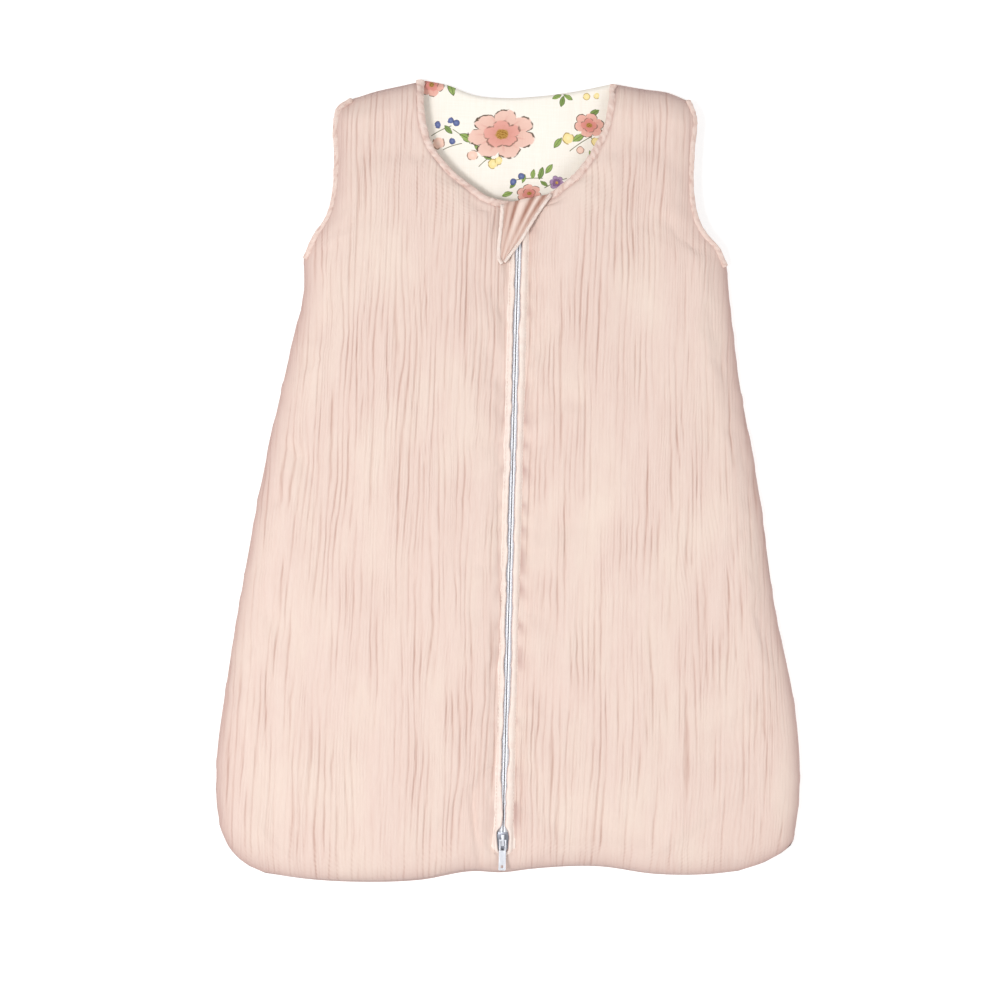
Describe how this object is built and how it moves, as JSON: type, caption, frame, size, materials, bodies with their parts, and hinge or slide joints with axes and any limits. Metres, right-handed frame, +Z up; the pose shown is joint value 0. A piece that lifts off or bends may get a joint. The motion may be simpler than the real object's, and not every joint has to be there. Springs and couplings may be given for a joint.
{
  "type": "baby sleeping bag",
  "caption": "Sleeveless padded baby sleeping bag, flared to a rounded hem, with a centre zip that opens upwards under a folded guard.",
  "frame": {"origin": "middle of the bag's underside, on the surface that it lies on", "axes": "+Y from the hem towards the neck, +Z up out of the front, +X to the right seen from the front"},
  "size_m": [0.5104, 0.7, 0.0234],
  "materials": {
    "outer_muslin": "matte",
    "binding_muslin": "matte",
    "lining_print": "matte",
    "wadding": "matte",
    "zip_tape": "matte",
    "zip_coil": "satin",
    "zip_plastic": "satin",
    "zip_metal": "satin"
  },
  "bodies": {
    "root": {"back_shell": "outer_muslin", "back_wadding": "wadding", "back_lining": "lining_print", "front_shell_left": "outer_muslin", "front_shell_right": "outer_muslin", "front_wadding_left": "wadding", "front_wadding_right": "wadding", "front_lining_left": "lining_print", "front_lining_right": "lining_print", "armhole_binding_left": "binding_muslin", "armhole_binding_right": "binding_muslin", "strap_binding_left": "binding_muslin", "strap_binding_right": "binding_muslin", "zip_bottom_stop": "zip_metal"},
    "lapel_left": {"lapel_shell_left": "outer_muslin", "lapel_wadding_left": "wadding", "lapel_lining_left": "lining_print", "neck_binding_left": "binding_muslin", "zip_band_left": "outer_muslin", "zip_tape_left": "zip_tape", "zip_coil_left": "zip_coil", "zip_insertion_pin": "zip_plastic"},
    "lapel_right": {"lapel_shell_right": "outer_muslin", "lapel_wadding_right": "wadding", "lapel_lining_right": "lining_print", "neck_binding_right": "binding_muslin", "zip_band_right": "outer_muslin", "zip_tape_right": "zip_tape", "zip_coil_right": "zip_coil", "zip_retainer_box": "zip_plastic"},
    "slider": {"zip_slider_body": "zip_metal", "zip_slider_crown": "zip_metal"},
    "pull_tab": {"zip_pull_tab": "zip_metal"},
    "guard": {"zip_guard": "outer_muslin"}
  },
  "joints": [
    {"name": "zip_slide", "type": "slide", "parent": "lapel_right", "child": "slider", "axis": [0, 1, 0], "range_m": [0, 0.475]},
    {"name": "lapel_right_fold", "type": "hinge", "parent": "root", "child": "lapel_right", "pos_m": [0.0745, 0.322, 0.0206], "axis": [0.1127, 0.9936, 0], "range_deg": [0, 130], "deforming": ["zip_band_right", "zip_tape_right", "zip_coil_right"]},
    {"name": "lapel_left_fold", "type": "hinge", "parent": "root", "child": "lapel_left", "pos_m": [-0.0745, 0.322, 0.0206], "axis": [0.1127, -0.9936, 0], "range_deg": [0, 130], "deforming": ["zip_band_left", "zip_tape_left", "zip_coil_left"]},
    {"name": "pull_tab_swing", "type": "hinge", "parent": "slider", "child": "pull_tab", "pos_m": [0, -0.3123, 0.0214], "axis": [-1, 0, 0], "range_deg": [0, 175]},
    {"name": "zip_guard_flip", "type": "hinge", "parent": "lapel_right", "child": "guard", "pos_m": [0.0055, 0.24465, 0.0218], "axis": [-0.9764, -0.2158, 0], "range_deg": [0, 160]}
  ],
  "couplings": [
    {"joint": "lapel_right_fold", "follows": "zip_slide", "rad_per_m": 4.776},
    {"joint": "lapel_left_fold", "follows": "zip_slide", "rad_per_m": 4.776}
  ]
}
